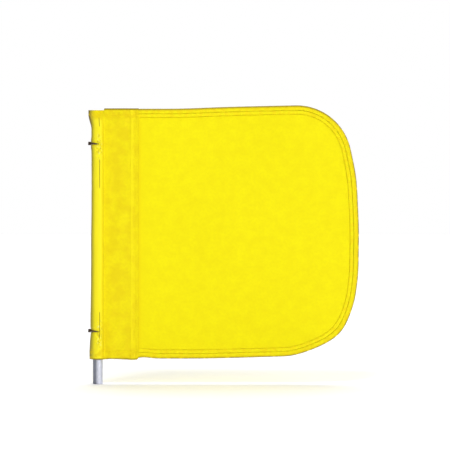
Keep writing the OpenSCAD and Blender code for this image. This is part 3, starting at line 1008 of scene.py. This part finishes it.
def make_stage():
    """A pale floor, the suns, and a white backdrop that lights the object mostly from the right."""
    bpy.ops.mesh.primitive_circle_add(
        vertices=96, radius=FLOOR_R, fill_type="NGON", location=(0.15, 0, -0.2 * MM))
    floor = bpy.context.object
    floor.name = "floor"
    material, _, shader = new_material("pale_floor", (0.93, 0.93, 0.93), 0.95)
    shader.inputs["Specular IOR Level"].default_value = 0.05
    dress(floor, material)
    for name, away, strength, spread in SUNS:
        sun(name, away, strength, spread)
    world = bpy.data.worlds.new("studio")
    bpy.context.scene.world = world
    world.use_nodes = True
    tree = world.node_tree
    seen = tree.nodes["Background"]
    seen.inputs["Color"].default_value = (1, 1, 1, 1)
    seen.inputs["Strength"].default_value = 1.0
    lit = tree.nodes.new("ShaderNodeBackground")
    lit.inputs["Color"].default_value = (1, 1, 1, 1)
    away = tree.nodes.new("ShaderNodeTexCoord")
    axes = tree.nodes.new("ShaderNodeSeparateXYZ")
    tree.links.new(away.outputs["Generated"], axes.inputs[0])
    from_right = soft_step(tree, axes.outputs["X"], -0.6, 0.1, 0.03, 0.42)
    tree.links.new(from_right, lit.inputs["Strength"])
    path = tree.nodes.new("ShaderNodeLightPath")
    mix = tree.nodes.new("ShaderNodeMixShader")
    tree.links.new(path.outputs["Is Camera Ray"], mix.inputs[0])
    tree.links.new(lit.outputs[0], mix.inputs[1])
    tree.links.new(seen.outputs[0], mix.inputs[2])
    tree.links.new(mix.outputs[0], tree.nodes["World Output"].inputs["Surface"])
    bpy.context.scene.view_settings.view_transform = "Standard"


make_camera()
make_stage()

sheet, FLAT_AREA = flag_sheet()
tape = edge_tape()
sleeve, STRIP_WIDTH, POCKET_REACH, LAP_PLACE = sleeve_cloth()
flag_cloth = cloth_material(
    "flag_cloth", FLAG_LIGHT, FLAG_DARK, 0.62 * MM, 90, shade=shade_flag)
strip_cloth = cloth_material(
    "strip_cloth", STRIP_LIGHT, STRIP_DARK, 0.62 * MM, 62,
    contrast=(0.38, 0.58), shade=shade_strip)
tape_cloth = cloth_material(
    "tape_cloth", TAPE_LIGHT, TAPE_DARK, 0.55 * MM, 200,
    contrast=(0.42, 0.58), shade=shade_tape)
thread = thread_material()
tie_plastic = moulded_material("tie_nylon", TIE_LIGHT, TIE_DARK, 0.42, 900)
plug_plastic = moulded_material("plug_plastic", PLUG_LIGHT, PLUG_DARK, 0.55, 500)

dress(sheet, flag_cloth)
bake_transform(sheet)
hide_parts("flag_cloth", "flag_root")

dress(tape, tape_cloth)
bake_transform(tape)
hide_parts("edge_binding")

for name, node, depth in (("outer_binding_stitches", "binding_seam_outer", BINDING_ROWS[0]),
                          ("inner_binding_stitches", "binding_seam_inner", BINDING_ROWS[1])):
    row = binding_stitches(name, depth)
    dress(row, thread)
    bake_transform(row)
    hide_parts(node)

dress(sleeve, strip_cloth)
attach(sleeve, "sleeve")
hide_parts("sleeve_pocket", "sleeve_front_leg", "sleeve_back_leg")

low_end, high_end = STRIP_LOW + 1.5 * MM, STRIP_HIGH - 1.5 * MM
sleeve_rows = (
    ("pocket_stitches", "pocket_seam", (POCKET_ROW, low_end), (POCKET_ROW, CLOSING_Z)),
    ("inner_strip_stitches", "strip_seam_inner", (INNER_ROW, low_end), (INNER_ROW, high_end)),
    ("outer_strip_stitches", "strip_seam_outer", (OUTER_ROW, low_end), (OUTER_ROW, high_end)),
    ("closing_stitches", "pocket_end_seam", (POCKET_LEFT + 1.5 * MM, CLOSING_ROW), (NECK_X, CLOSING_ROW)),
    ("top_stitches", "sleeve_top_seam", (POCKET_ROW + 1 * MM, TOP_ROW), (INNER_ROW - 1 * MM, TOP_ROW)),
    ("bottom_stitches", "sleeve_bottom_seam",
     (POCKET_ROW + 1 * MM, BOTTOM_ROW), (INNER_ROW - 1 * MM, BOTTOM_ROW)),
)
for name, node, start, end in sleeve_rows:
    row = straight_stitches(name, start, end, leg_rise)
    dress(row, thread)
    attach(row, "sleeve")
    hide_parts(node)

for name, node in (("upper_tie_strap", "upper_tie"), ("lower_tie_strap", "lower_tie")):
    strap = tie_strap(name, node)
    dress(strap, tie_plastic)
    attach(strap, "sleeve")
    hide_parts(node)

dress(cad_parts["pole_tube"], tube_material())
dress(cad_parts["pole_plug"], plug_plastic)
